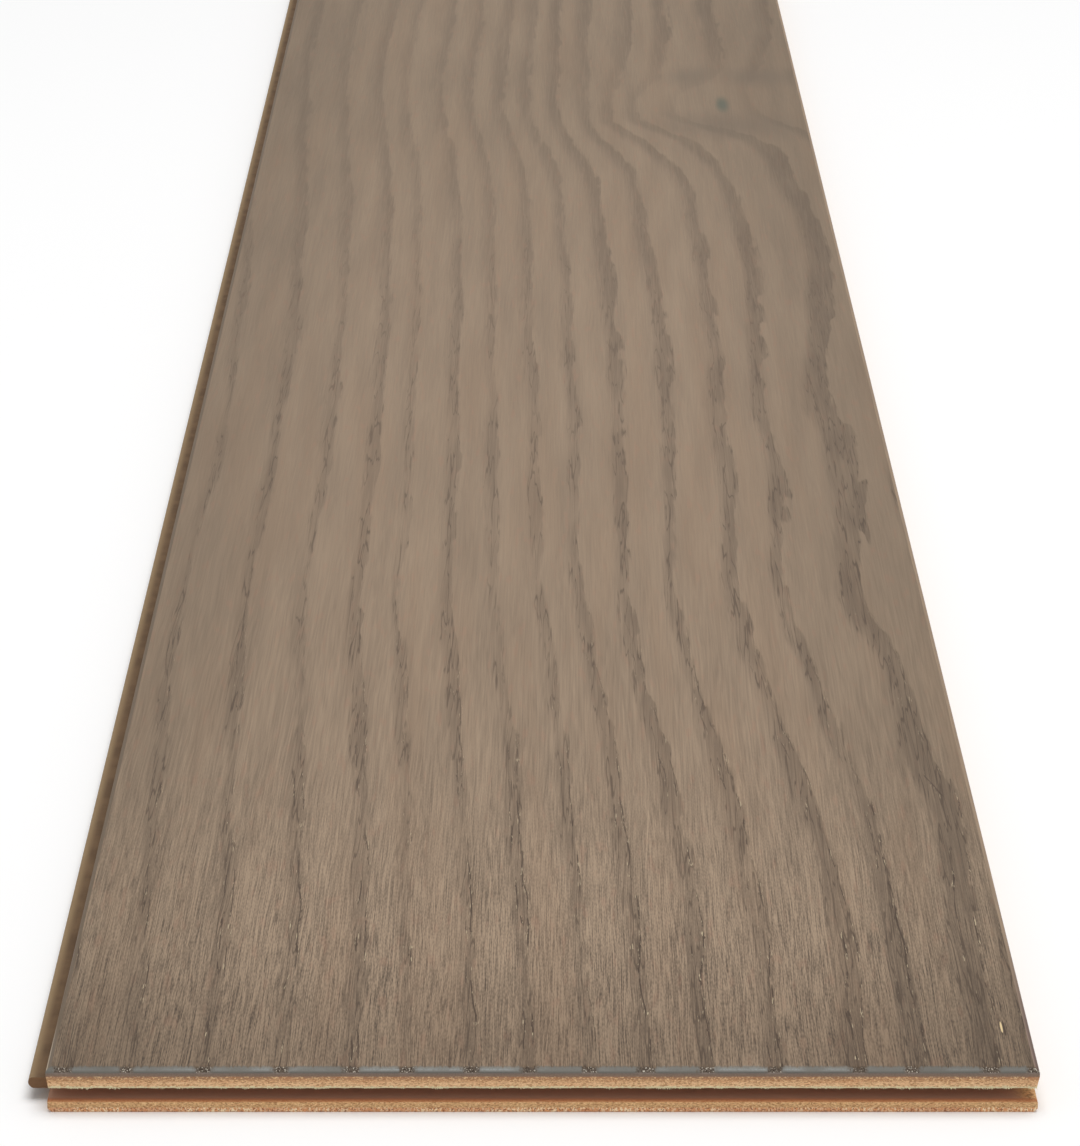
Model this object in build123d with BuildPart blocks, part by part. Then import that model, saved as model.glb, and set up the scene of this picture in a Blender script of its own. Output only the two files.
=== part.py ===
"""Engineered floorboard: a stained hardwood face and a thin backing veneer, glued to a
high-density fibreboard core. Tongues and grooves are milled round its four edges, so that
each board locks into the next ones along its sides and at its ends.

Frame, in millimetres: X across the board, Y along it, Z up. The origin is the centre of the
underside, below the centre of the face. The tongues point to -X and +Y, the grooves open to
+X and -Y.
"""

import os

from build123d import *

# Layers, from the underside up
backing_thickness = 1.0
core_thickness = 6.7
veneer_thickness = 1.8

# Face of the board, measured between the joints at its top
face_width = 190.5
face_length = 1219.2
bevel = 1.0  # broken edge all round the face, as wide as it is deep

# Groove, opening to the right side and the front end
groove_floor = 2.5  # height of the groove's floor above the underside
groove_height = 2.5
groove_depth = 5.3
groove_corner_radius = 0.6
lower_lip_easing = 0.5  # lead-in on the lip that the next tongue slides over
upper_lip_easing = 0.15

# Tongue, which takes its size from the groove of the next board
tongue_fit = 0.1  # play above the tongue, and as much below it
tongue_end_play = 1.2  # room between the tongue's nose and the groove's back
nose_roundness = 0.96  # share of half the tongue's thickness taken by each round of its nose
tongue_thickness = groove_height - 2 * tongue_fit
tongue_length = groove_depth - tongue_end_play

# Shoulders of the joint: only the face layer of two boards touches
undercut = 0.4  # lean of the core's edge, from the face layer down to the joint
lower_relief = 0.1  # how far the edge below the joint stands back
side_arris = 0.8  # broken lower edge along the two sides
end_arris = 0.15  # lightly sanded lower edge at the two ends

# Oversize blank that the layers are pressed to before the edges are milled
trim_allowance = 3.0
blank_margin = tongue_length + trim_allowance
blank_width = face_width + 2 * blank_margin
blank_length = face_length + 2 * blank_margin

core_bottom = backing_thickness
veneer_bottom = core_bottom + core_thickness
board_top = veneer_bottom + veneer_thickness
groove_top = groove_floor + groove_height
tongue_bottom = groove_floor + tongue_fit
tongue_top = groove_top - tongue_fit

# Each edge is milled on a plane across it: local x points out of the board from the edge of
# its face, and local y points up from the underside.
half_width = face_width / 2
half_length = face_length / 2
left_edge = Plane(origin=(-half_width, 0, 0), x_dir=(-1, 0, 0), z_dir=(0, 1, 0))
right_edge = Plane(origin=(half_width, 0, 0), x_dir=(1, 0, 0), z_dir=(0, -1, 0))
far_end = Plane(origin=(0, half_length, 0), x_dir=(0, 1, 0), z_dir=(1, 0, 0))
near_end = Plane(origin=(0, -half_length, 0), x_dir=(0, -1, 0), z_dir=(-1, 0, 0))


def lower_corner(arris):
    """Outline from the blank's lower corner round the board's lower edge."""
    return [
        (blank_margin, 0),
        (-lower_relief - arris, 0),
        (-lower_relief, arris),
    ]


def upper_corner(joint_height):
    """Outline from the top of the joint, up the shoulder and over the bevel to the blank's top."""
    return [
        (-undercut, joint_height),
        (0, veneer_bottom),
        (0, board_top - bevel),
        (-bevel, board_top),
        (blank_margin, board_top),
    ]


def tongue_waste(edge, arris):
    """What the cutters take away to leave a tongue with a round nose."""
    with BuildSketch(edge) as waste:
        with BuildLine():
            Polyline(
                *lower_corner(arris),
                (-lower_relief, tongue_bottom),
                (tongue_length, tongue_bottom),
                (tongue_length, tongue_top),
                *upper_corner(tongue_top),
                close=True,
            )
        make_face()
        nose = waste.vertices().group_by(Axis.X)[-2]
        fillet(nose, radius=nose_roundness * tongue_thickness / 2)
    return waste.sketch


def groove_waste(edge, arris):
    """What the cutters take away to leave a groove between two lips."""
    with BuildSketch(edge) as waste:
        with BuildLine():
            Polyline(
                *lower_corner(arris),
                (-lower_relief, groove_floor - lower_lip_easing),
                (-lower_relief - lower_lip_easing, groove_floor),
                (-groove_depth, groove_floor),
                (-groove_depth, groove_top),
                (-undercut - upper_lip_easing, groove_top),
                *upper_corner(groove_top + upper_lip_easing),
                close=True,
            )
        make_face()
        back_corners = waste.vertices().group_by(Axis.X)[0]
        fillet(back_corners, radius=groove_corner_radius)
    return waste.sketch


# The sides are milled over the whole blank, then the ends across it, so the end groove also
# cuts off the start of the side tongue, and the side groove the end of the end tongue.
edge_wastes = [
    (tongue_waste(left_edge, side_arris), blank_length),
    (groove_waste(right_edge, side_arris), blank_length),
    (tongue_waste(far_end, end_arris), blank_width),
    (groove_waste(near_end, end_arris), blank_width),
]

# Backing veneer: a thin sheet that keeps the board from cupping
with BuildPart() as backing_veneer:
    with BuildSketch(Plane.XY):
        Rectangle(blank_width, blank_length)
    extrude(amount=backing_thickness)
    for waste, run in edge_wastes:
        extrude(waste, amount=run, both=True, mode=Mode.SUBTRACT)

# Core: the fibreboard sheet that carries the tongues and the grooves
with BuildPart() as fibreboard_core:
    with BuildSketch(Plane.XY.offset(core_bottom)):
        Rectangle(blank_width, blank_length)
    extrude(amount=core_thickness)
    for waste, run in edge_wastes:
        extrude(waste, amount=run, both=True, mode=Mode.SUBTRACT)

# Face: the sawn hardwood layer that is walked on, with its edges bevelled
with BuildPart() as face_veneer:
    with BuildSketch(Plane.XY.offset(veneer_bottom)):
        Rectangle(blank_width, blank_length)
    extrude(amount=veneer_thickness)
    for waste, run in edge_wastes:
        extrude(waste, amount=run, both=True, mode=Mode.SUBTRACT)

backing_veneer.part.label = "backing_veneer"
fibreboard_core.part.label = "fibreboard_core"
face_veneer.part.label = "face_veneer"

os.makedirs("parts", exist_ok=True)
export_step(backing_veneer.part, "parts/backing_veneer.step")
export_step(fibreboard_core.part, "parts/fibreboard_core.step")
export_step(face_veneer.part, "parts/face_veneer.step")
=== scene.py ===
"""Engineered floorboard: the looks of its three glued layers, on a pale floor in soft light.

Metres, in the frame of the solids: X across the board, Y along it, Z up from the underside.
"""

import math

import bmesh
import bpy
from mathutils import Matrix, Vector


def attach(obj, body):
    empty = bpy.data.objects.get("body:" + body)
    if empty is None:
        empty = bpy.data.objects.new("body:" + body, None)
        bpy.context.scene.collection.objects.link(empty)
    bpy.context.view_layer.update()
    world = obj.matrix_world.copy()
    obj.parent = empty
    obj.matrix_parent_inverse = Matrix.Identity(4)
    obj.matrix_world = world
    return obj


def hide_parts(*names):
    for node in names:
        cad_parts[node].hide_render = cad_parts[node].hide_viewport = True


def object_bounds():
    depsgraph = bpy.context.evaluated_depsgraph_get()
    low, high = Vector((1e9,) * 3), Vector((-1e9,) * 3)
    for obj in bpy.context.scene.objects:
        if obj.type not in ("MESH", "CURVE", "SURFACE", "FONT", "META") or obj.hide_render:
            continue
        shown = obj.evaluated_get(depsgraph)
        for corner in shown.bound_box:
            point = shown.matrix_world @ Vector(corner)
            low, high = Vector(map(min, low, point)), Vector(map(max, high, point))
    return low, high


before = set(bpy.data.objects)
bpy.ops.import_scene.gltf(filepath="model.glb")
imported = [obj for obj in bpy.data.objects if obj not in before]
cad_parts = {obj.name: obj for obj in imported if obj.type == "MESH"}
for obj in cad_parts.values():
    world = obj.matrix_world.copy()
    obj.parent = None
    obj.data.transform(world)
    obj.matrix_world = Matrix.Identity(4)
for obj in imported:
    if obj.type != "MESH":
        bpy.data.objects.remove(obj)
cad_low, cad_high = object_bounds()

# Backing veneer
# A thin sheet of raw reddish softwood under the core, which keeps the board from cupping.
# It is milled with the other layers, and its lower edges are broken along the two sides.
mm = 0.001
half_width = cad_high[0]  # the lips of the grooves end flush with the face
half_length = -cad_low[1]
backing_thickness = 1.0 * mm
lower_relief = 0.1 * mm
side_arris = 0.8 * mm
end_arris = 0.15 * mm
pale_grain = (222, 184, 147)
ruddy_grain = (207, 160, 124)
grain_line = (194, 144, 110)
pale_cell = (255, 230, 190)
tan_cell = (228, 166, 117)
ruddy_run = (212, 150, 110)
dark_pit = (164, 110, 78)


def milled_sheet(name, levels, across, along):
    """A closed sheet that is a rectangle at every height. A level gives its height and how far
    its left, right, near and far edges stand out from those of the face. across and along are
    the shares of a side at which its edge has points."""
    points, faces = [], []
    for height, left, right, near, far in levels:
        x0, x1 = -half_width - left, half_width + right
        y0, y1 = -half_length - near, half_length + far
        points += [(x0 + (x1 - x0) * k, y0, height) for k in across[:-1]]
        points += [(x1, y0 + (y1 - y0) * k, height) for k in along[:-1]]
        points += [(x1 - (x1 - x0) * k, y1, height) for k in across[:-1]]
        points += [(x0, y1 - (y1 - y0) * k, height) for k in along[:-1]]
    ring = 2 * (len(across) + len(along) - 2)
    for level in range(len(levels) - 1):
        low, high = level * ring, (level + 1) * ring
        for k in range(ring):
            n = (k + 1) % ring
            faces.append((low + k, low + n, high + n, high + k))
    faces.append(tuple(range(ring - 1, -1, -1)))
    faces.append(tuple(range(len(points) - ring, len(points))))
    mesh = bpy.data.meshes.new(name)
    mesh.from_pydata(points, [], faces)
    return mesh


def even_steps(count):
    """Shares from 0 to 1 in equal steps."""
    return [k / count for k in range(count + 1)]


def piece_of(name, mesh, material):
    """A finished piece with its own mesh and material, smooth between its sharp edges."""
    mesh.materials.clear()
    mesh.materials.append(material)
    mesh.shade_smooth()
    mesh.set_sharp_from_angle(angle=math.radians(32))
    piece = bpy.data.objects.new(name, mesh)
    bpy.context.scene.collection.objects.link(piece)
    return piece


def add(tree, kind, sockets=None, **settings):
    """A new node with its options set and its sockets filled by values or other nodes' outputs."""
    made = tree.nodes.new(kind)
    for setting, value in settings.items():
        setattr(made, setting, value)
    for socket, value in (sockets or {}).items():
        if isinstance(value, bpy.types.NodeSocket):
            tree.links.new(value, made.inputs[socket])
        else:
            made.inputs[socket].default_value = value
    return made


def calc(tree, operation, first, second=0.0, third=0.0):
    """One step of arithmetic on values or other nodes' outputs."""
    sockets = {0: first, 1: second, 2: third}
    return add(tree, "ShaderNodeMath", sockets, operation=operation).outputs[0]


def times(tree, *factors):
    """Product of values or other nodes' outputs."""
    product = factors[0]
    for factor in factors[1:]:
        product = calc(tree, "MULTIPLY", product, factor)
    return product


def ease(tree, value, start, end, low=0.0, high=1.0):
    """Smooth step of a value from low, at start, to high, at end."""
    sockets = {0: value, 1: start, 2: end, 3: low, 4: high}
    return add(tree, "ShaderNodeMapRange", sockets, interpolation_type="SMOOTHSTEP").outputs[0]


def fibres(tree, place, size, detail=2.0, roughness=0.5, shift=0.0):
    """Cloudy noise whose grains have that size in millimetres along X, Y and Z."""
    shares = [1 / (s * mm) for s in size]
    scaled = add(
        tree,
        "ShaderNodeVectorMath",
        {0: place, 1: shares, 2: (shift, shift * 1.7, shift * 2.3)},
        operation="MULTIPLY_ADD",
    ).outputs[0]
    sockets = {"Vector": scaled, "Scale": 1.0, "Detail": detail, "Roughness": roughness}
    return add(tree, "ShaderNodeTexNoise", sockets).outputs[0]


def tint(tree, share, first, second, mode="MIX"):
    """Colour between two others, which are sRGB triples or other nodes' outputs."""
    made = add(tree, "ShaderNodeMix", {0: share}, data_type="RGBA", blend_type=mode)
    for index, value in ((6, first), (7, second)):
        if isinstance(value, bpy.types.NodeSocket):
            tree.links.new(value, made.inputs[index])
        else:
            made.inputs[index].default_value = linear(*value)
    return made.outputs[2]


def linear(red, green, blue):
    """Colour of an sRGB triple from 0 to 255, as light."""
    parts = [v / 255 for v in (red, green, blue)]
    return [p / 12.92 if p < 0.04045 else ((p + 0.055) / 1.055) ** 2.4 for p in parts] + [1.0]


def new_finish(name, roughness, shine):
    """A material without a colour yet, with its node tree and its shader."""
    finish = bpy.data.materials.new(name)
    finish.use_nodes = True
    shader = finish.node_tree.nodes["Principled BSDF"]
    shader.inputs["Roughness"].default_value = roughness
    shader.inputs["Specular IOR Level"].default_value = shine
    return finish, finish.node_tree, shader


def place_on_piece(tree):
    """Place of the point that is coloured, as a vector in the frame of the board."""
    return add(tree, "ShaderNodeTexCoord").outputs["Object"]


def parts_of(tree, vector):
    """The X, Y and Z of a vector."""
    return add(tree, "ShaderNodeSeparateXYZ", {0: vector}).outputs


def facing_along(tree):
    """How far the surface faces along the board, from -1 at its near end to 1 at its far end."""
    return parts_of(tree, add(tree, "ShaderNodeNewGeometry").outputs["Normal"])[1]


def emboss(tree, shader, height, depth):
    """Relief too fine for the mesh: a height from 0 to 1 that stands for a depth in metres."""
    bump = add(tree, "ShaderNodeBump", {"Strength": 1.0, "Distance": depth, "Height": height})
    tree.links.new(bump.outputs[0], shader.inputs["Normal"])


backing_levels = []
for height in (0.0, end_arris, side_arris, backing_thickness):
    side = -lower_relief - max(side_arris - height, 0.0)
    end = -lower_relief - max(end_arris - height, 0.0)
    backing_levels.append((height, side, side, end, end))
backing_mesh = milled_sheet("backing_veneer_raw", backing_levels, even_steps(380), even_steps(300))

raw_veneer, tree, shader = new_finish("raw_backing_veneer", 0.85, 0.25)
place = place_on_piece(tree)
lines = fibres(tree, place, (0.5, 26, 0.5), 3, 0.6)
swirls = fibres(tree, place, (9, 240, 9), 2, 0.5, 3.1)
long_grain = tint(tree, ease(tree, swirls, 0.35, 0.68), pale_grain, ruddy_grain)
long_grain = tint(tree, ease(tree, lines, 0.42, 0.72), long_grain, grain_line)
cells = fibres(tree, place, (0.45, 0.5, 0.8), 3, 0.6)
pits = fibres(tree, place, (0.4, 0.5, 0.35), 2, 0.6, 5.2)
runs = fibres(tree, place, (9, 20, 4), 2, 0.5, 2.4)
end_grain = tint(tree, ease(tree, cells, 0.44, 0.54), pale_cell, tan_cell)
end_grain = tint(tree, ease(tree, runs, 0.42, 0.62, 0.0, 0.6), end_grain, ruddy_run)
end_grain = tint(tree, ease(tree, pits, 0.54, 0.6), end_grain, dark_pit)
end_share = ease(tree, calc(tree, "ABSOLUTE", facing_along(tree)), 0.5, 0.8)
tree.links.new(tint(tree, end_share, long_grain, end_grain), shader.inputs["Base Color"])
emboss(tree, shader, calc(tree, "MULTIPLY_ADD", cells, end_share, lines), 0.06 * mm)

backing_veneer = piece_of("backing_veneer_raw", backing_mesh, raw_veneer)
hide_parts("backing_veneer")
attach(backing_veneer, "root")

# Fibreboard core
# Wood fibres pressed hard into one sheet, denser and darker towards its two faces. Cutters
# mill the tongues and the grooves into it, which leaves the edges of the lips slightly torn.
core_thickness = 6.7 * mm
core_top = backing_thickness + core_thickness
groove_floor = 2.5 * mm
groove_height = 2.5 * mm
groove_top = groove_floor + groove_height
groove_depth = 5.3 * mm
groove_corner = 0.6 * mm
lower_lip_easing = 0.5 * mm
upper_lip_easing = 0.15 * mm
worn_easing = 0.3 * lower_lip_easing  # distance of the rounded easing's middle from its corner
tongue_fit = 0.1 * mm
tongue_end_play = 1.2 * mm
nose_roundness = 0.96
tongue_bottom = groove_floor + tongue_fit
tongue_top = groove_top - tongue_fit
tongue_length = groove_depth - tongue_end_play
nose_radius = nose_roundness * (tongue_top - tongue_bottom) / 2
undercut = 0.4 * mm
flat_rise = 0.0005 * mm  # keeps the level stretches of an outline from having one height
lower_skin = (208, 168, 121)
ruddy_cloud = (214, 154, 110)
dark_grit = (166, 118, 78)
pale_fleck = (244, 208, 158)
torn_lip_highlight = (228, 218, 178)
groove_shade_brown = (190, 151, 128)
shaded_lip_edge = (180, 112, 72)
shaded_tongue_root = (90, 71, 53)
lit_tongue_nose = (146, 124, 94)
tongue_cloud = (128, 104, 78)
tongue_cut = (128, 98, 72)

# Colours above the lower skin: where each starts and where it is full, in mm above the underside.
pressed_colours = [
    (1.0, 2.4, (232, 187, 133)),
    (4.6, 5.4, (236, 196, 152)),
    (6.0, 7.0, (204, 156, 112)),
    (6.6, 7.6, (154, 120, 98)),
]


def quarter(radius, turns):
    """Points of a quarter round as (across, up), which run from flat to upright."""
    steps = [k / turns * math.pi / 2 for k in range(turns + 1)]
    return [(radius * math.sin(a), radius * (1 - math.cos(a))) for a in steps]


tongue_outline = [(backing_thickness, -lower_relief), (tongue_bottom - flat_rise, -lower_relief)]
for out, up in quarter(nose_radius, 8):
    tongue_outline.append((tongue_bottom + up, tongue_length - nose_radius + out))
for out, up in reversed(quarter(nose_radius, 8)):
    tongue_outline.append((tongue_top - up, tongue_length - nose_radius + out))
tongue_outline += [(tongue_top + flat_rise, -undercut), (core_top, 0.0)]

groove_outline = [
    (backing_thickness, -lower_relief),
    (groove_floor - lower_lip_easing, -lower_relief),
    (groove_floor - worn_easing, -lower_relief - worn_easing),
    (groove_floor - flat_rise, -lower_relief - lower_lip_easing),
]
for out, up in quarter(groove_corner, 5):
    groove_outline.append((groove_floor + up, groove_corner - groove_depth - out))
for out, up in reversed(quarter(groove_corner, 5)):
    groove_outline.append((groove_top - up, groove_corner - groove_depth - out))
groove_outline += [
    (groove_top + flat_rise, -undercut - upper_lip_easing),
    (groove_top + upper_lip_easing, -undercut),
    (core_top, 0.0),
]


def reach(outline, height):
    """How far the edge stands out at that height."""
    for (z0, r0), (z1, r1) in zip(outline, outline[1:]):
        if z0 <= height <= z1:
            return r0 + (r1 - r0) * (height - z0) / (z1 - z0)
    return outline[-1][1]


heights = sorted({z for z, _ in tongue_outline + groove_outline})
core_levels = []
for z in heights:
    out_tongue, out_groove = reach(tongue_outline, z), reach(groove_outline, z)
    core_levels.append((z, out_tongue, out_groove, out_groove, out_tongue))
core_mesh = milled_sheet("fibreboard_core_milled", core_levels, even_steps(400), even_steps(320))

fibreboard, tree, shader = new_finish("pressed_fibreboard", 0.9, 0.2)
place = place_on_piece(tree)
across, along, height_up = parts_of(tree, place)
grit = fibres(tree, place, (0.6, 0.6, 0.2), 2, 0.6)
flecks = fibres(tree, place, (0.4, 0.4, 0.24), 2, 0.6, 4.4)
clouds = fibres(tree, place, (7, 7, 0.9), 2, 0.5, 1.9)
board = lower_skin
for start, full, colour in pressed_colours:
    board = tint(tree, ease(tree, height_up, start * mm, full * mm), board, colour)
board = tint(tree, ease(tree, clouds, 0.45, 0.7, 0.0, 0.45), board, ruddy_cloud)
board = tint(tree, ease(tree, grit, 0.42, 0.66, 0.0, 0.9), board, dark_grit)
board = tint(tree, ease(tree, flecks, 0.5, 0.66, 0.0, 0.8), board, pale_fleck)
# Pale torn fibres along the lower edge of the upper lips, with a painted highlight on them.
fray = calc(tree, "MULTIPLY_ADD", flecks, -1.2 * mm, height_up)
lip = ease(tree, fray, groove_top - 0.05 * mm, groove_top - 0.4 * mm)
above_groove = ease(tree, height_up, groove_top - 0.05 * mm, groove_top + 0.02 * mm)
board = tint(tree, times(tree, lip, above_groove), board, torn_lip_highlight)

# The cutters leave the tongues dull and smooth. The tongues carry painted shade by their shoulders
# and painted light at their noses, and painted shade darkens the inside of the grooves.
behind_front = calc(tree, "ADD", along, half_length)
behind_side = calc(tree, "SUBTRACT", half_width, across)
# Painted shade inside the grooves.
in_groove_shade = times(
    tree,
    ease(tree, behind_front, 0.1 * mm, 0.7 * mm),
    ease(tree, behind_side, 1.0 * mm, groove_depth),
    ease(tree, height_up, groove_floor - 0.1 * mm, groove_floor),
    ease(tree, height_up, groove_top + 0.1 * mm, groove_top),
)
board = tint(tree, in_groove_shade, board, groove_shade_brown)
# Painted shade on the eased top edge of the lower lip, under the mouth of the grooves.
easing = times(
    tree,
    ease(tree, height_up, groove_floor - lower_lip_easing, groove_floor - 0.2 * mm),
    ease(tree, height_up, groove_floor + 0.1 * mm, groove_floor),
    ease(tree, behind_front, 1.6 * mm, 0.6 * mm, 0.0, 0.8),
)
board = tint(tree, easing, board, shaded_lip_edge)
beyond_side = ease(tree, across, -half_width + 0.4 * mm, -half_width - 0.4 * mm)
beyond_end = ease(tree, along, half_length - 0.4 * mm, half_length + 0.4 * mm)
on_tongue = calc(tree, "MAXIMUM", beyond_side, beyond_end)
out_side = calc(tree, "MULTIPLY_ADD", across, -1.0, -half_width)
out_end = calc(tree, "SUBTRACT", along, half_length)
from_shoulder = calc(tree, "MAXIMUM", out_side, out_end)
# Painted shade on the tongues by their shoulders, with painted light towards their noses.
tongue_shading = tint(tree, ease(tree, from_shoulder, 1.8 * mm, 3.9 * mm), shaded_tongue_root, lit_tongue_nose)
tongue_shading = tint(tree, ease(tree, clouds, 0.3, 0.7, 0.0, 0.4), tongue_shading, tongue_cloud)
sawn = ease(tree, facing_along(tree), -0.3, -0.8)
tongue_shading = tint(tree, sawn, tongue_shading, tongue_cut)
board = tint(tree, on_tongue, board, tongue_shading)
tree.links.new(board, shader.inputs["Base Color"])
emboss(tree, shader, calc(tree, "ADD", grit, flecks), 0.05 * mm)


def inlet(tree, name, kind):
    """A named input of a node group, as the identifier that its modifier uses."""
    return tree.interface.new_socket(name=name, in_out="INPUT", socket_type=kind).identifier


def shaped_by(carrier, tree, values):
    """The plain mesh that a node group makes of a carrier object, which is then dropped."""
    modifier = carrier.modifiers.new(tree.name, "NODES")
    modifier.node_group = tree
    for identifier, value in values.items():
        modifier[identifier] = value
    seen = carrier.evaluated_get(bpy.context.evaluated_depsgraph_get())
    mesh = bpy.data.meshes.new_from_object(seen)
    bpy.data.objects.remove(carrier)
    return mesh


# Torn fibres hang from the lower edge of the upper lips.
torn_fibre, _, shader = new_finish("torn_fibre", 0.9, 0.1)
shader.inputs["Base Color"].default_value = linear(230, 222, 184)

tearing = bpy.data.node_groups.new("torn_lip_fibres", "GeometryNodeTree")
tearing.is_modifier = True
tearing_inlets = {
    "Lip": inlet(tearing, "Lip", "NodeSocketGeometry"),
    "Spacing": inlet(tearing, "Spacing", "NodeSocketFloat"),
    "Width": inlet(tearing, "Width", "NodeSocketFloat"),
    "Length": inlet(tearing, "Length", "NodeSocketFloat"),
    "Seed": inlet(tearing, "Seed", "NodeSocketInt"),
    "Finish": inlet(tearing, "Finish", "NodeSocketMaterial"),
}
tearing.interface.new_socket(name="Fibres", in_out="OUTPUT", socket_type="NodeSocketGeometry")
lip_given = add(tearing, "NodeGroupInput").outputs
lip_line = add(tearing, "GeometryNodeMeshToCurve", {"Mesh": lip_given["Lip"]}).outputs[0]
sockets = {"Curve": lip_line, "Length": lip_given["Spacing"]}
roots = add(tearing, "GeometryNodeResampleCurve", sockets, mode="LENGTH").outputs[0]
sockets = {
    "Vertices": 4,
    "Radius Top": 0.0,
    "Radius Bottom": lip_given["Width"],
    "Depth": lip_given["Length"],
}
sliver = add(tearing, "GeometryNodeMeshCone", sockets).outputs["Mesh"]


def chance(low, high):
    """A vector picked for each sliver, between two others."""
    sockets = {0: low, 1: high, "Seed": lip_given["Seed"]}
    return add(tearing, "FunctionNodeRandomValue", sockets, data_type="FLOAT_VECTOR").outputs[0]


rooted_at = add(tearing, "GeometryNodeInputPosition").outputs[0]
clump = fibres(tearing, rooted_at, (2.6, 2.6, 2.6), 1, 0.5, 1.7)
clump = ease(tearing, clump, 0.35, 0.65, 0.15, 1.0)
clumps = add(tearing, "ShaderNodeCombineXYZ", {0: 1.0, 1: 1.0, 2: clump}).outputs[0]
sockets = {0: chance((0.7, 0.7, 0.3), (1.5, 1.5, 1.0)), 1: clumps}
scales = add(tearing, "ShaderNodeVectorMath", sockets, operation="MULTIPLY").outputs[0]
sockets = {
    "Points": roots,
    "Instance": sliver,
    "Rotation": chance((math.pi - 0.5, -0.7, 0.0), (math.pi + 0.5, 0.7, 2 * math.pi)),
    "Scale": scales,
}
slivers = add(tearing, "GeometryNodeInstanceOnPoints", sockets).outputs[0]
slivers = add(tearing, "GeometryNodeRealizeInstances", {"Geometry": slivers}).outputs[0]
sockets = {"Geometry": slivers, "Material": lip_given["Finish"]}
slivers = add(tearing, "GeometryNodeSetMaterial", sockets).outputs[0]
add(tearing, "NodeGroupOutput", {0: slivers})

lip_in = undercut + 0.05 * mm
lip_height = groove_top + 0.1 * mm
lip_points = [
    (-half_width + undercut, -half_length + lip_in, lip_height),
    (half_width - lip_in, -half_length + lip_in, lip_height),
    (half_width - lip_in, half_length - undercut, lip_height),
]
lip_mesh = bpy.data.meshes.new("lip_edge")
lip_mesh.from_pydata(lip_points, [(0, 1), (1, 2)], [])
lip_edge = bpy.data.objects.new("lip_edge", lip_mesh)
bpy.context.scene.collection.objects.link(lip_edge)
fibre_values = {
    tearing_inlets["Spacing"]: 0.3 * mm,
    tearing_inlets["Width"]: 0.13 * mm,
    tearing_inlets["Length"]: 0.6 * mm,
    tearing_inlets["Seed"]: 5,
    tearing_inlets["Finish"]: torn_fibre,
}
fibre_mesh = shaped_by(lip_edge, tearing, fibre_values)

fibreboard_core = piece_of("fibreboard_core_milled", core_mesh, fibreboard)
core_mesh.materials.append(torn_fibre)
joined = bmesh.new()
joined.from_mesh(core_mesh)
solid_faces = len(joined.faces)
joined.from_mesh(fibre_mesh)
joined.faces.ensure_lookup_table()
for face in joined.faces[solid_faces:]:
    face.material_index = 1
joined.to_mesh(core_mesh)
joined.free()
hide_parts("fibreboard_core")
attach(fibreboard_core, "root")

# Face veneer
# A sawn sheet of ring-porous hardwood, flat cut beside a small knot. Steel brushes hollow out
# its soft early wood, then it is bevelled all round and stained grey-brown.
face_top = cad_high[2]
bevel = 1.0 * mm
wall_top = face_top - bevel
near_end = -half_length
pale_wood = (165, 143, 120)
dark_wood = (88, 74, 61)
warm_stain = (140, 114, 91)
pink_stain = (156, 118, 97)
band_stain = (101, 85, 70)
fissure_brown = (80, 65, 52)
pore_brown = (60, 46, 36)
torn_pale_glint = (192, 175, 146)
split_brown = (72, 58, 46)
splinter_pale = (222, 198, 152)
smoke_grey = (108, 94, 80)
knot_green = (88, 92, 80)
end_shade = (224, 222, 220)
side_shade = (232, 232, 231)
far_shade = (242, 242, 240)

# Growth lines drawn along the board as (distance from the near end, place across), in mm.
left_line = [
    (0, -80), (100, -84), (200, -88.5), (300, -88.5), (350, -87), (450, -89.5), (550, -92),
    (600, -95), (700, -98), (800, -100), (900, -99), (1060, -94), (1220, -95),
]
second_line = [
    (0, -65), (50, -65.5), (100, -67.5), (150, -69.5), (200, -72), (250, -73.5), (300, -72.5),
    (400, -72.5), (500, -73.5), (550, -76), (600, -77), (650, -79.5), (700, -82), (750, -84),
    (800, -86), (900, -85), (1060, -79), (1220, -80),
]
middle_line = [
    (0, 9.5), (50, 8), (100, 6.5), (150, 5), (200, 2.5), (250, 0), (300, -1), (400, -1.5),
    (450, -3), (500, -3), (600, -4), (650, -6), (675, -8), (700, -11), (725, -13), (750, -14),
    (800, -13), (850, -11), (900, -10), (1060, -5), (1220, -8),
]
bend_line = [
    (0, 44.5), (50, 44.5), (100, 43), (150, 40), (200, 35.5), (250, 32.5), (300, 34), (400, 36),
    (480, 36), (570, 33.5), (640, 31), (670, 26), (690, 20.5), (710, 17.5), (740, 17), (800, 17),
    (875, 17.5), (1060, 22), (1220, 19),
]
right_line = [
    (0, 61), (50, 62), (100, 60.5), (150, 56.5), (200, 51.5), (250, 48), (300, 49.5), (400, 50.5),
    (450, 52), (550, 51), (600, 50.5), (625, 49.5), (650, 46), (675, 39), (700, 30), (715, 24.5),
    (750, 26), (775, 28), (800, 31), (850, 35), (900, 35.5), (1060, 40), (1220, 37),
]
knot_line = [
    (0, 86), (50, 87), (100, 89), (125, 89.5), (150, 86), (200, 84), (250, 78), (300, 80.5),
    (350, 84), (375, 83.5), (395, 79), (450, 82), (500, 86), (550, 89), (600, 87), (650, 83),
    (675, 80), (690, 74), (700, 65), (712, 52), (725, 46), (745, 47), (760, 53), (775, 62),
    (790, 66), (850, 67.5), (900, 66), (1060, 71), (1220, 68),
]
edge_line = [
    (0, 94), (50, 95), (100, 97), (200, 99), (300, 97), (400, 99), (500, 103), (600, 103),
    (675, 98), (700, 92), (712, 84), (725, 77), (745, 74), (760, 74), (775, 77), (800, 82),
    (850, 88), (900, 89), (1060, 92), (1220, 89),
]


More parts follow.
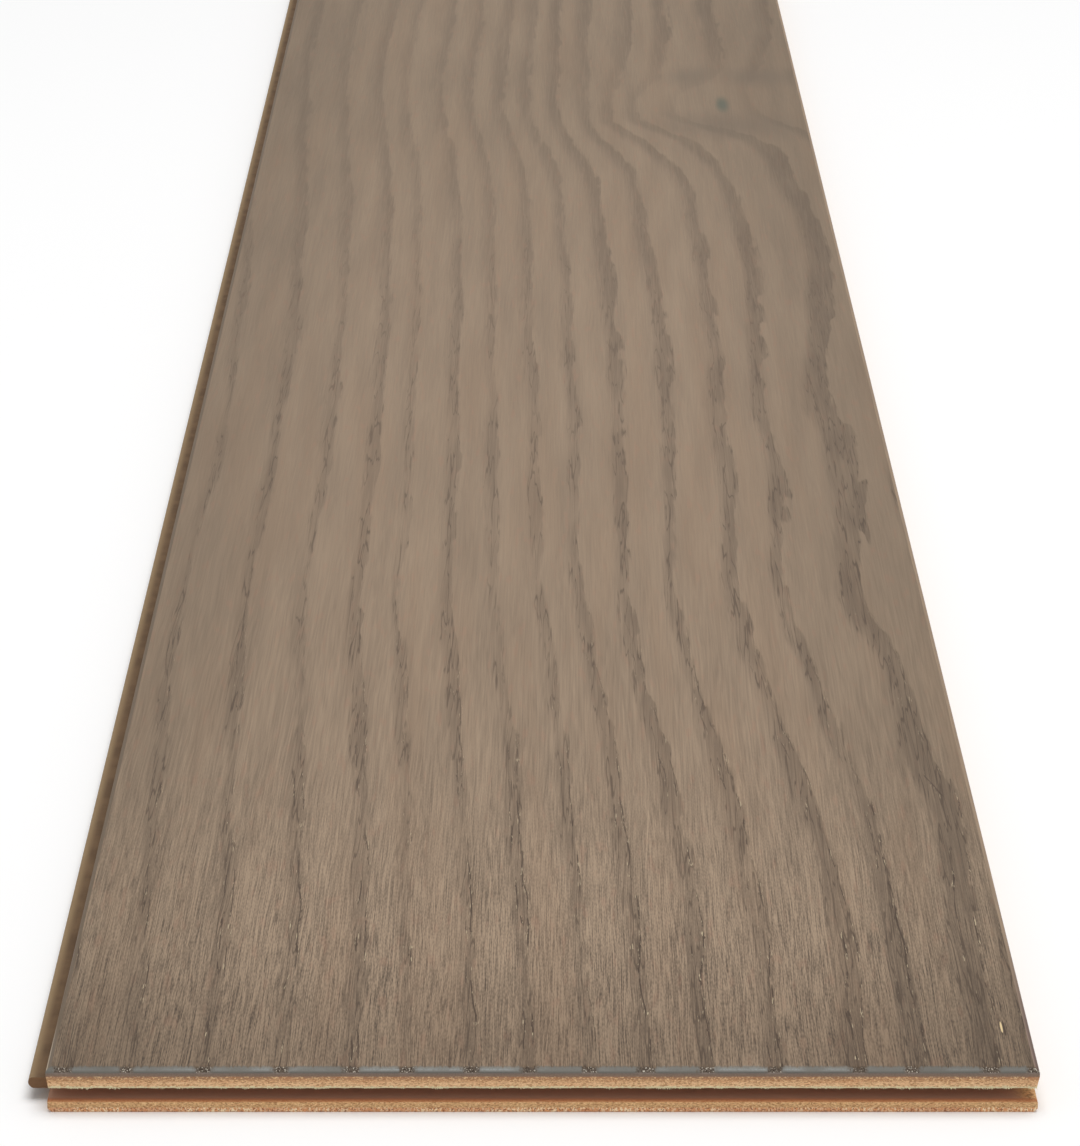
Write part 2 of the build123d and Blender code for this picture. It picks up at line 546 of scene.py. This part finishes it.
def drawn(line, at):
    """Place across of a smooth line through drawn points, at a distance along it."""

    def slope(k):
        (y0, x0), (y1, x1) = line[max(k - 1, 0)], line[min(k + 1, len(line) - 1)]
        return (x1 - x0) / (y1 - y0)

    at = min(max(at, line[0][0]), line[-1][0])
    n = max(k for k in range(len(line) - 1) if line[k][0] <= at)
    (y0, x0), (y1, x1) = line[n], line[n + 1]
    gap = y1 - y0
    t = (at - y0) / gap
    bent = slope(n) * gap * (t**3 - 2 * t**2 + t) + slope(n + 1) * gap * (t**3 - t**2)
    return x0 * (2 * t**3 - 3 * t**2 + 1) + x1 * (3 * t**2 - 2 * t**3) + bent


# Years between two drawn lines: share of the way across, and half the width of its band in mm.
years_between = [
    (left_line, second_line, ((-1.6, 1.0), (-0.8, 1.0), (0.0, 1.1))),
    (second_line, middle_line, ((0.0, 1.3), (0.2, 1.1), (0.385, 1.3), (0.515, 1.0))),
    (second_line, middle_line, ((0.69, 1.3), (0.84, 1.2))),
    (middle_line, bend_line, ((0.0, 1.3), (0.296, 1.3), (0.63, 1.6))),
    (bend_line, right_line, ((0.0, 1.5),)),
    (right_line, knot_line, ((0.0, 1.7), (0.38, 1.8))),
    (knot_line, edge_line, ((0.0, 2.8), (1.0, 1.4), (2.0, 1.0), (3.5, 1.0))),
]


def years_at(distance):
    """The years at a distance from the near end, as (place across, half width of the band)."""
    found = []
    for first, second, years in years_between:
        a, b = drawn(first, distance), drawn(second, distance)
        found += [(a + (b - a) * share, breadth) for share, breadth in years]
    return found


chart_start = -15
chart_length = 1250
chart_step = 6.25
chart_rows = int(chart_length / chart_step)
chart_points = []
chart_values = {"year": [], "gap": [], "breadth": []}
for row in range(chart_rows):
    distance = chart_start + row * chart_step
    places = years_at(distance)
    years = len(places)
    for year, (x, breadth) in enumerate(places):
        before, after = places[max(year - 1, 0)], places[min(year + 1, years - 1)]
        chart_points.append((x * mm, near_end + distance * mm, 0.0))
        chart_values["year"].append(float(year))
        chart_values["gap"].append((after[0] - before[0]) / 2)
        chart_values["breadth"].append(breadth)
chart_faces = []
for row in range(chart_rows - 1):
    for year in range(years - 1):
        k = row * years + year
        chart_faces.append((k, k + 1, k + years + 1, k + years))
chart_mesh = bpy.data.meshes.new("growth_chart")
chart_mesh.from_pydata(chart_points, [], chart_faces)
for name, values in chart_values.items():
    chart_mesh.attributes.new(name, "FLOAT", "POINT").data.foreach_set("value", values)
growth_chart = bpy.data.objects.new("growth_chart", chart_mesh)
bpy.context.scene.collection.objects.link(growth_chart)


def stations(low, high, runs):
    """Places from low to high: each run is (where it ends, step)."""
    places, at = [low], low
    for end, step in runs:
        count = max(1, round((end - at) / step))
        places += [at + (end - at) * (k + 1) / count for k in range(count)]
        at = end
    places[-1] = high
    return places


inner_x = stations(-half_width + bevel, half_width - bevel, [(half_width - bevel, 0.5 * mm)])
inner_y = stations(
    -half_length + bevel,
    half_length - bevel,
    [
        (near_end + 3 * mm, 0.25 * mm),
        (near_end + 30 * mm, 0.75 * mm),
        (near_end + 100 * mm, 1.75 * mm),
        (near_end + 300 * mm, 4.0 * mm),
        (half_length - bevel, 9.0 * mm),
    ],
)


def with_edges(inner, half):
    """Columns or rows of the sheet as (place, height): wall, bevel, flat, bevel, wall."""
    wall = [(-half, core_top)]
    wall += [(-half + bevel * k, wall_top + bevel * k) for k in (0, 0.25, 0.5, 0.75)]
    flat = [(p, face_top) for p in inner]
    return wall + flat + [(-p, z) for p, z in reversed(wall)]


columns = with_edges(inner_x, half_width)
rows = with_edges(inner_y, half_length)
blank_points = [(x, y, min(zx, zy)) for y, zy in rows for x, zx in columns]
blank_faces = []
for r in range(len(rows) - 1):
    for c in range(len(columns) - 1):
        k = r * len(columns) + c
        blank_faces.append((k, k + 1, k + len(columns) + 1, k + len(columns)))
blank_mesh = bpy.data.meshes.new("face_blank")
blank_mesh.from_pydata(blank_points, [], blank_faces)
face_blank = bpy.data.objects.new("face_blank", blank_mesh)
bpy.context.scene.collection.objects.link(face_blank)

stained, tree, shader = new_finish("brushed_stained_hardwood", 0.6, 0.15)
place = place_on_piece(tree)
across, along, height_up = parts_of(tree, place)
from_side = calc(tree, "SUBTRACT", half_width, calc(tree, "ABSOLUTE", across))
from_end = calc(tree, "SUBTRACT", half_length, calc(tree, "ABSOLUTE", along))


def down_board(start, end, low=0.0, high=1.0):
    """Smooth step along the board, between two distances from its near end in mm."""
    return ease(tree, along, near_end + start * mm, near_end + end * mm, low, high)


def patch(centre, half, turn=0.0):
    """Soft oval spot: 1 at its centre, given in mm across and from the near end, 0 at its rim."""
    middle = (centre[0] * mm, near_end + centre[1] * mm, face_top)
    moved = add(tree, "ShaderNodeVectorMath", {0: place, 1: middle}, operation="SUBTRACT").outputs[0]
    sockets = {"Vector": moved, "Angle": math.radians(turn)}
    turned = add(tree, "ShaderNodeVectorRotate", sockets, rotation_type="Z_AXIS").outputs[0]
    shares = (1 / (half[0] * mm), 1 / (half[1] * mm), 0.0)
    sized = add(tree, "ShaderNodeVectorMath", {0: turned, 1: shares}, operation="MULTIPLY").outputs[0]
    length = add(tree, "ShaderNodeVectorMath", {0: sized}, operation="LENGTH").outputs["Value"]
    return ease(tree, length, 1.0, 0.0)


def off_band(tree, charted, place):
    """Distance in mm from the nearest growth line, and from the middle of its ragged band."""
    from_line = calc(tree, "SUBTRACT", charted["year"], calc(tree, "ROUND", charted["year"]))
    from_line = times(tree, from_line, charted["gap"])
    ragged = fibres(tree, place, (0.6, 15, 5), 2, 0.6, 2.7)
    return from_line, calc(tree, "ADD", from_line, calc(tree, "MULTIPLY_ADD", ragged, 2.2, -1.1))


# Early wood: soft grey bands along the growth lines, sharp on their right, faint round the knot.
far = down_board(250, 750)
softer = calc(tree, "ADD", far, 1.0)
charted = {}
for name in chart_values:
    charted[name] = add(tree, "ShaderNodeAttribute", attribute_name=name).outputs["Fac"]
from_line, offset = off_band(tree, charted, place)
fullness = fibres(tree, place, (13, 60, 5), 1, 0.5, 7.7)
fullness = ease(tree, fullness, 0.32, 0.68, 0.75, 1.35)
half_band = times(tree, charted["breadth"], fullness)
half_band = calc(tree, "MULTIPLY_ADD", far, 0.3, half_band)
half_band = calc(tree, "MULTIPLY_ADD", patch((82, 335), (16, 150)), 1.6, half_band)
teeth = ease(tree, fibres(tree, place, (4, 20, 5), 1, 0.5, 1.1), 0.4, 0.6, -0.3, 0.3)
right_half = calc(tree, "MULTIPLY_ADD", teeth, half_band, half_band)
left_side = calc(tree, "DIVIDE", calc(tree, "ADD", half_band, offset), softer)
right_side = calc(tree, "DIVIDE", calc(tree, "SUBTRACT", right_half, offset), softer)
left_side = ease(tree, left_side, -1.9, 1.2)
right_side = ease(tree, right_side, -0.4, 0.5)
early_wood = times(tree, left_side, right_side)
bouts = fibres(tree, place, (9, 38, 5), 1, 0.5, 4.2)
vigour = ease(tree, bouts, 0.3, 0.6, calc(tree, "MULTIPLY_ADD", far, 0.34, 0.5), 1.0)
strong = ease(tree, charted["breadth"], 0.9, 1.8, 0.6, 1.0)
off_knot = calc(tree, "MULTIPLY_ADD", patch((60, 752), (58, 100)), -0.85, 1.0)
vigour = times(tree, vigour, strong, off_knot)
early_wood = times(tree, early_wood, vigour)

# Fine streaks, which lean a little and carry the light and dark of the stain.
waver = times(tree, fibres(tree, place, (7, 50, 5), 1, 0.5, 8.3), 1.4 * mm)
aside = calc(tree, "MULTIPLY_ADD", along, -0.01, waver)
shift = add(tree, "ShaderNodeCombineXYZ", {0: aside}).outputs[0]
flow = add(tree, "ShaderNodeVectorMath", {0: place, 1: shift}, operation="ADD").outputs[0]
ribbon = fibres(tree, place, (2.5, 80, 5), 1, 0.5, 1.3)
shift = add(tree, "ShaderNodeCombineXYZ", {1: times(tree, ribbon, 60 * mm)}).outputs[0]
strand = add(tree, "ShaderNodeVectorMath", {0: flow, 1: shift}, operation="ADD").outputs[0]
hair = fibres(tree, strand, (0.2, 11, 5), 1, 0.5, 6.1)
thread = fibres(tree, strand, (0.42, 19, 5), 1, 0.55, 3.8)
specks = fibres(tree, flow, (0.22, 1.3, 5), 0, 0.5, 4.9)
fine = calc(tree, "MULTIPLY_ADD", specks, 0.26, times(tree, hair, 0.64))
clear = down_board(10, 190, 1.15, 0.05)
fine = times(tree, calc(tree, "SUBTRACT", fine, 0.45), clear)
broad = calc(tree, "MULTIPLY_ADD", ribbon, 0.08, times(tree, thread, 0.3))
clear = down_board(10, 340, 1.0, 0.25)
broad = times(tree, calc(tree, "SUBTRACT", broad, 0.19), clear)
cloud = fibres(tree, flow, (5, 70, 5), 0, 0.5, 6.6)
broad = calc(tree, "ADD", broad, calc(tree, "MULTIPLY_ADD", cloud, 0.08, -0.04))
grain = calc(tree, "ADD", fine, broad)
grain = times(tree, grain, calc(tree, "MULTIPLY_ADD", early_wood, -0.25, 1.0))
wood = tint(tree, calc(tree, "MULTIPLY_ADD", grain, 3.2, 0.4), pale_wood, dark_wood)
warm = fibres(tree, place, (9, 130, 5), 2, 0.5, 0.6)
wood = tint(tree, ease(tree, warm, 0.45, 0.7, 0.0, 0.2), wood, warm_stain)
blush = fibres(tree, place, (1.6, 9, 5), 1, 0.5, 7.1)
wood = tint(tree, ease(tree, blush, 0.58, 0.75, 0.0, 0.22), wood, pink_stain)
filled = times(
    tree,
    early_wood,
    ease(tree, thread, 0.3, 0.6, 0.44, 0.63),
    ease(tree, from_end, 0.0, 190 * mm, 0.95, 1.04),
    down_board(350, 850, 1.0, 0.9),
)
wood = tint(tree, filled, wood, band_stain)
fissures = fibres(tree, flow, (1.1, 30, 5), 1, 0.5, 2.9)
fissures = calc(tree, "ABSOLUTE", calc(tree, "SUBTRACT", fissures, 0.5))
fissures = times(
    tree,
    ease(tree, fissures, 0.035, 0.008),
    ease(tree, early_wood, 0.15, 0.6),
    calc(tree, "MULTIPLY_ADD", far, -0.7, 0.7),
)
wood = tint(tree, fissures, wood, fissure_brown)
wood = tint(tree, ease(tree, from_end, 62 * mm, 0.0), wood, end_shade, "MULTIPLY")
wood = tint(tree, ease(tree, from_side, 55 * mm, 0.0), wood, side_shade, "MULTIPLY")

# Cracks along the bands, with dark pits beside them, and pale torn fibres that carry painted glints.
gate = fibres(tree, place, (1.8, 11, 5), 2, 0.55, 3.3)
drift = calc(tree, "MULTIPLY_ADD", fibres(tree, place, (9, 22, 5), 1, 0.5, 5.1), 2.0, -1.0)
path = calc(tree, "ADD", from_line, drift)
outer = calc(tree, "ABSOLUTE", calc(tree, "MULTIPLY_ADD", half_band, -0.8, path))
inner = calc(tree, "ABSOLUTE", calc(tree, "MULTIPLY_ADD", half_band, 0.35, path))
open_outer = ease(tree, gate, 0.45, 0.51)
open_inner = ease(tree, gate, 0.46, 0.41)
cracks = calc(
    tree,
    "MAXIMUM",
    times(tree, ease(tree, outer, 0.2, 0.06), open_outer),
    times(tree, ease(tree, inner, 0.18, 0.05), open_inner),
)
beside = calc(
    tree,
    "MAXIMUM",
    times(tree, ease(tree, outer, 0.75, 0.25), open_outer),
    times(tree, ease(tree, inner, 0.7, 0.2), open_inner),
)
depth = down_board(40, 290, 0.84, 0.06)
depth = times(tree, depth, ease(tree, vigour, 0.3, 0.7))
beside = times(tree, beside, depth)
slits = fibres(tree, flow, (0.35, 3.0, 5), 1, 0.5, 9.4)
pores = times(tree, ease(tree, slits, 0.62, 0.7), beside)
pores = calc(tree, "MAXIMUM", pores, times(tree, cracks, depth))
wood = tint(tree, pores, wood, pore_brown)
# Painted glints on the pale torn fibres beside the cracks.
bits = fibres(tree, flow, (0.34, 5, 5), 2, 0.65, 5.7)
glints = times(tree, ease(tree, bits, 0.6, 0.66), beside)
wood = tint(tree, glints, wood, torn_pale_glint)
split = patch((90.1, 16.6), (0.35, 5.2))
wood = tint(tree, ease(tree, split, 0.1, 0.5), wood, split_brown)
splinter = patch((89.6, 17.2), (0.3, 3.4))
wood = tint(tree, ease(tree, splinter, 0.1, 0.4), wood, splinter_pale)

# A small knot, with the smoky grain that sweeps round it.
knot = patch((66, 737), (4.0, 18))
smoke = calc(tree, "MAXIMUM", patch((68, 708), (42, 28), 6), patch((56, 778), (15, 25), 15))
smoke = calc(tree, "MAXIMUM", smoke, patch((81, 778), (23, 22), -15))
wood = tint(tree, times(tree, smoke, 0.5), wood, smoke_grey)
wood = tint(tree, ease(tree, knot, 0.0, 1.0, 0.0, 0.85), wood, knot_green)
wood = tint(tree, down_board(450, 800), wood, far_shade, "MULTIPLY")

# The stain is thin on the bevels of the sides, with painted shade on the left one and painted light
# on the right one. Towards the two ends the right one turns darker, and the left one has a pale worn
# rim with a painted highlight.
shaded_left_bevel = (98, 82, 62)
lit_right_bevel = (152, 129, 105)
film_streak = (110, 93, 77)
right_corner_low = (94, 72, 64)
right_corner_high = (138, 116, 101)
left_corner = (102, 88, 72)
worn_rim_and_highlight = (174, 158, 136)
on_right = ease(tree, across, -1 * mm, 1 * mm)
# Painted shade on the left side bevel, painted light on the right one.
side_film_lit_and_shaded = tint(tree, on_right, shaded_left_bevel, lit_right_bevel)
corner = tint(tree, ease(tree, from_side, 0.3 * mm, bevel), right_corner_low, right_corner_high)
# The pale rim of the left corner is wear with a painted highlight.
worn_and_lit_corner = tint(tree, ease(tree, from_side, 0.35 * mm, 0.2 * mm), left_corner, worn_rim_and_highlight)
corner = tint(tree, on_right, worn_and_lit_corner, corner)
cut_back = calc(tree, "MULTIPLY_ADD", on_right, 40 * mm, 24 * mm)
at_corner = calc(tree, "DIVIDE", from_end, cut_back)
side_film_lit_and_shaded = tint(tree, ease(tree, at_corner, 1.0, 0.2), side_film_lit_and_shaded, corner)
side_film_lit_and_shaded = tint(tree, ease(tree, thread, 0.35, 0.65, 0.0, 0.4), side_film_lit_and_shaded, film_streak)
wood = tint(tree, ease(tree, from_side, bevel + 0.1 * mm, bevel - 0.05 * mm), wood, side_film_lit_and_shaded)

# On the bevels of the ends it stands grey, with a painted highlight and painted shade, and is torn
# where the bands run out, with painted glints there.
shaded_film_edge = (94, 91, 86)
film_middle = (142, 141, 136)
film_high = (138, 131, 120)
painted_film_highlight = (152, 154, 151)
film_dull = (110, 106, 98)
film_beside = (104, 101, 94)
film_crumb = (112, 108, 101)
torn_wood = (96, 84, 73)
torn_pit = (60, 50, 42)
torn_glint = (206, 198, 182)
crumbs = fibres(tree, place, (0.35, 0.35, 0.35), 2, 0.6, 0.9)
spread = fibres(tree, place, (7, 7, 7), 1, 0.5, 2.2)
# Painted shade along the foot of the end bevels.
film = tint(tree, ease(tree, from_end, 0.05 * mm, 0.4 * mm), shaded_film_edge, film_middle)
film = tint(tree, ease(tree, from_end, 0.6 * mm, bevel), film, film_high)
# A painted highlight along the middle of the end bevels.
shine = calc(tree, "ABSOLUTE", calc(tree, "SUBTRACT", from_end, 0.5 * mm))
shine = times(tree, ease(tree, shine, 0.16 * mm, 0.0), ease(tree, spread, 0.6, 0.35))
film = tint(tree, shine, film, painted_film_highlight)
film = tint(tree, ease(tree, spread, 0.4, 0.65, 0.0, 0.6), film, film_dull)
film = tint(tree, ease(tree, from_side, 45 * mm, 8 * mm, 0.0, 0.6), film, film_beside)
film = tint(tree, ease(tree, crumbs, 0.4, 0.7, 0.0, 0.4), film, film_crumb)
from_band = calc(tree, "MULTIPLY_ADD", crumbs, 1.6, calc(tree, "SUBTRACT", offset, 0.8))
from_band = calc(tree, "ABSOLUTE", from_band)
film = tint(tree, ease(tree, from_band, 2.2, 0.9), film, torn_wood)
ripped = ease(tree, from_band, 1.8, 0.8)
# Dark pits and painted glints where the film on the end bevels is torn.
tear_specks = fibres(tree, place, (0.26, 0.4, 0.26), 1, 0.5, 5.7)
ripped_dark = times(tree, ripped, ease(tree, tear_specks, 0.46, 0.36))
ripped_glints = times(tree, ripped, ease(tree, tear_specks, 0.6, 0.68))
film = tint(tree, ripped_dark, film, torn_pit)
film = tint(tree, ripped_glints, film, torn_glint)
brow = calc(tree, "MULTIPLY_ADD", thread, 0.8 * mm, calc(tree, "SUBTRACT", from_end, 0.4 * mm))
wood = tint(tree, ease(tree, brow, bevel + 0.2 * mm, bevel - 0.3 * mm), wood, film)

# Below the bevels the sawn edge is bare.
wall_low = (139, 116, 99)
wall_high = (126, 113, 104)
wall_crumb = (112, 97, 86)
wall = tint(tree, ease(tree, height_up, core_top + 0.2 * mm, wall_top), wall_low, wall_high)
wall = tint(tree, ease(tree, crumbs, 0.35, 0.7, 0.0, 0.5), wall, wall_crumb)
wood = tint(tree, ease(tree, height_up, wall_top + 0.05 * mm, wall_top - 0.1 * mm), wood, wall)
tree.links.new(wood, shader.inputs["Base Color"])
relief = calc(tree, "MULTIPLY_ADD", thread, 0.4, times(tree, hair, -0.4))
emboss(tree, shader, relief, 0.12 * mm)

# Brushing hollows the bands out, and chips the bevels of the ends where the bands run out.
brushing = bpy.data.node_groups.new("brushed_growth_lines", "GeometryNodeTree")
brushing.is_modifier = True
brushing_inlets = {
    "Sheet": inlet(brushing, "Sheet", "NodeSocketGeometry"),
    "Growth Chart": inlet(brushing, "Growth Chart", "NodeSocketObject"),
    "Trough Depth": inlet(brushing, "Trough Depth", "NodeSocketFloat"),
    "Wander": inlet(brushing, "Wander", "NodeSocketFloat"),
    "Chip Depth": inlet(brushing, "Chip Depth", "NodeSocketFloat"),
    "Finish": inlet(brushing, "Finish", "NodeSocketMaterial"),
}
brushing.interface.new_socket(name="Face", in_out="OUTPUT", socket_type="NodeSocketGeometry")
face_given = add(brushing, "NodeGroupInput").outputs
sockets = {"Object": face_given["Growth Chart"]}
chart = add(brushing, "GeometryNodeObjectInfo", sockets).outputs["Geometry"]
spot = add(brushing, "GeometryNodeInputPosition").outputs[0]
sway = fibres(brushing, spot, (9, 45, 9), 2, 0.5, 5.5)
sway = times(brushing, calc(brushing, "SUBTRACT", sway, 0.5), face_given["Wander"])
sideways = add(brushing, "ShaderNodeCombineXYZ", {0: sway}).outputs[0]
sockets = {0: spot, 1: (1, 1, 0), 2: sideways}
on_chart = add(brushing, "ShaderNodeVectorMath", sockets, operation="MULTIPLY_ADD").outputs[0]


def from_chart(name):
    """A value that the growth chart has at a point of the sheet."""
    sockets = {"Name": name}
    read = add(brushing, "GeometryNodeInputNamedAttribute", sockets, data_type="FLOAT").outputs[0]
    sockets = {"Mesh": chart, "Value": read, "Sample Position": on_chart}
    return add(brushing, "GeometryNodeSampleNearestSurface", sockets, data_type="FLOAT").outputs[0]


sheet = face_given["Sheet"]
here = {name: from_chart(name) for name in chart_values}
for name, value in here.items():
    sockets = {"Geometry": sheet, "Name": name, "Value": value}
    settings = {"data_type": "FLOAT", "domain": "POINT"}
    sheet = add(brushing, "GeometryNodeStoreNamedAttribute", sockets, **settings).outputs[0]
_, away = off_band(brushing, here, spot)
away = calc(brushing, "ABSOLUTE", away)
trough = ease(brushing, away, 0.6, 2.0, 1.0, 0.0)
_, lengthwise, upwards = parts_of(brushing, spot)
upper = ease(brushing, upwards, core_top, core_top + bevel)
sink = times(brushing, trough, upper, face_given["Trough Depth"])
chips = ease(brushing, fibres(brushing, spot, (0.9, 0.9, 0.9), 1, 0.5, 3.6), 0.45, 0.7)
at_band = ease(brushing, away, 2.4, 1.0)
at_end = calc(brushing, "SUBTRACT", half_length, calc(brushing, "ABSOLUTE", lengthwise))
at_end = ease(brushing, at_end, bevel + 0.6 * mm, bevel - 0.2 * mm)
chips = times(brushing, chips, at_band, at_end, upper)
sink = calc(brushing, "MULTIPLY_ADD", chips, face_given["Chip Depth"], sink)
down = add(brushing, "ShaderNodeCombineXYZ", {2: times(brushing, sink, -1.0)}).outputs[0]
sheet = add(brushing, "GeometryNodeSetPosition", {"Geometry": sheet, "Offset": down}).outputs[0]
sockets = {"Geometry": sheet, "Distance": 0.001 * mm}
sheet = add(brushing, "GeometryNodeMergeByDistance", sockets).outputs[0]
sheet = add(brushing, "GeometryNodeRealizeInstances", {"Geometry": sheet}).outputs[0]
sockets = {"Geometry": sheet, "Material": face_given["Finish"]}
sheet = add(brushing, "GeometryNodeSetMaterial", sockets).outputs[0]
add(brushing, "NodeGroupOutput", {0: sheet})

brushed_values = {
    brushing_inlets["Growth Chart"]: growth_chart,
    brushing_inlets["Trough Depth"]: 0.12 * mm,
    brushing_inlets["Wander"]: 3.0 * mm,
    brushing_inlets["Chip Depth"]: 0.35 * mm,
    brushing_inlets["Finish"]: stained,
}
face_mesh = shaped_by(face_blank, brushing, brushed_values)
face_mesh.name = "face_veneer_brushed"
bpy.data.objects.remove(growth_chart)

solid = bmesh.new()
solid.from_mesh(face_mesh)
rim = [edge for edge in solid.edges if edge.is_boundary]
bmesh.ops.holes_fill(solid, edges=rim, sides=0)
bmesh.ops.recalc_face_normals(solid, faces=solid.faces)
solid.to_mesh(face_mesh)
solid.free()

face_veneer = piece_of("face_veneer_brushed", face_mesh, stained)
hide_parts("face_veneer")
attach(face_veneer, "root")

# Floor, light and camera
# A pale level floor in soft light from above and in front. The camera stands low at the near
# end, with a long lens.
floor_half = 6
floor_corners = [
    (-floor_half, -floor_half, 0),
    (floor_half, -floor_half, 0),
    (floor_half, floor_half, 0),
    (-floor_half, floor_half, 0),
]
floor_mesh = bpy.data.meshes.new("floor")
floor_mesh.from_pydata(floor_corners, [], [(0, 1, 2, 3)])
floor = bpy.data.objects.new("floor", floor_mesh)
bpy.context.scene.collection.objects.link(floor)
paper, _, shader = new_finish("pale_floor", 0.9, 0.0)
shader.inputs["Base Color"].default_value = (0.97, 0.97, 0.97, 1.0)
floor_mesh.materials.append(paper)

world = bpy.data.worlds.new("studio")
bpy.context.scene.world = world
world.use_nodes = True
sky = world.node_tree
glow = sky.nodes["Background"]
glow.inputs["Color"].default_value = (1.0, 1.0, 1.0, 1.0)
seen_by = add(sky, "ShaderNodeLightPath").outputs
backdrop = calc(sky, "MAXIMUM", seen_by["Is Camera Ray"], seen_by["Is Glossy Ray"])
backdrop = calc(sky, "MAXIMUM", backdrop, seen_by["Is Transmission Ray"])
fill_strength = 0.45
backdrop_gain = 0.55
strength = calc(sky, "MULTIPLY_ADD", backdrop, backdrop_gain, fill_strength)
sky.links.new(strength, glow.inputs["Strength"])

lamp_place = Vector((0.3, -0.4, 3.0))
lamp_aim = Vector((0.0, -0.3, 0.0))
lamp = bpy.data.lights.new("overhead_light", "AREA")
lamp.shape = "DISK"
lamp.size = 2.4
lamp.energy = 63
overhead_light = bpy.data.objects.new("overhead_light", lamp)
overhead_light.location = lamp_place
overhead_light.rotation_euler = (lamp_aim - lamp_place).to_track_quat("-Z", "Y").to_euler()
bpy.context.scene.collection.objects.link(overhead_light)

camera_place = (-2.09 * mm, -1313.63 * mm, 379.57 * mm)
camera_pan = math.radians(-0.119)
camera_down = math.radians(20.882)
camera_roll = math.radians(0.057)
camera_data = bpy.data.cameras.new("camera")
camera_data.lens = 129.6
camera_data.sensor_width = 36
camera = bpy.data.objects.new("camera", camera_data)
turn = Matrix.Rotation(camera_pan, 4, "Z")
turn = turn @ Matrix.Rotation(math.pi / 2 - camera_down, 4, "X")
turn = turn @ Matrix.Rotation(camera_roll, 4, "Z")
camera.matrix_world = Matrix.Translation(camera_place) @ turn
bpy.context.scene.collection.objects.link(camera)
bpy.context.scene.camera = camera
bpy.context.scene.view_settings.view_transform = "Standard"
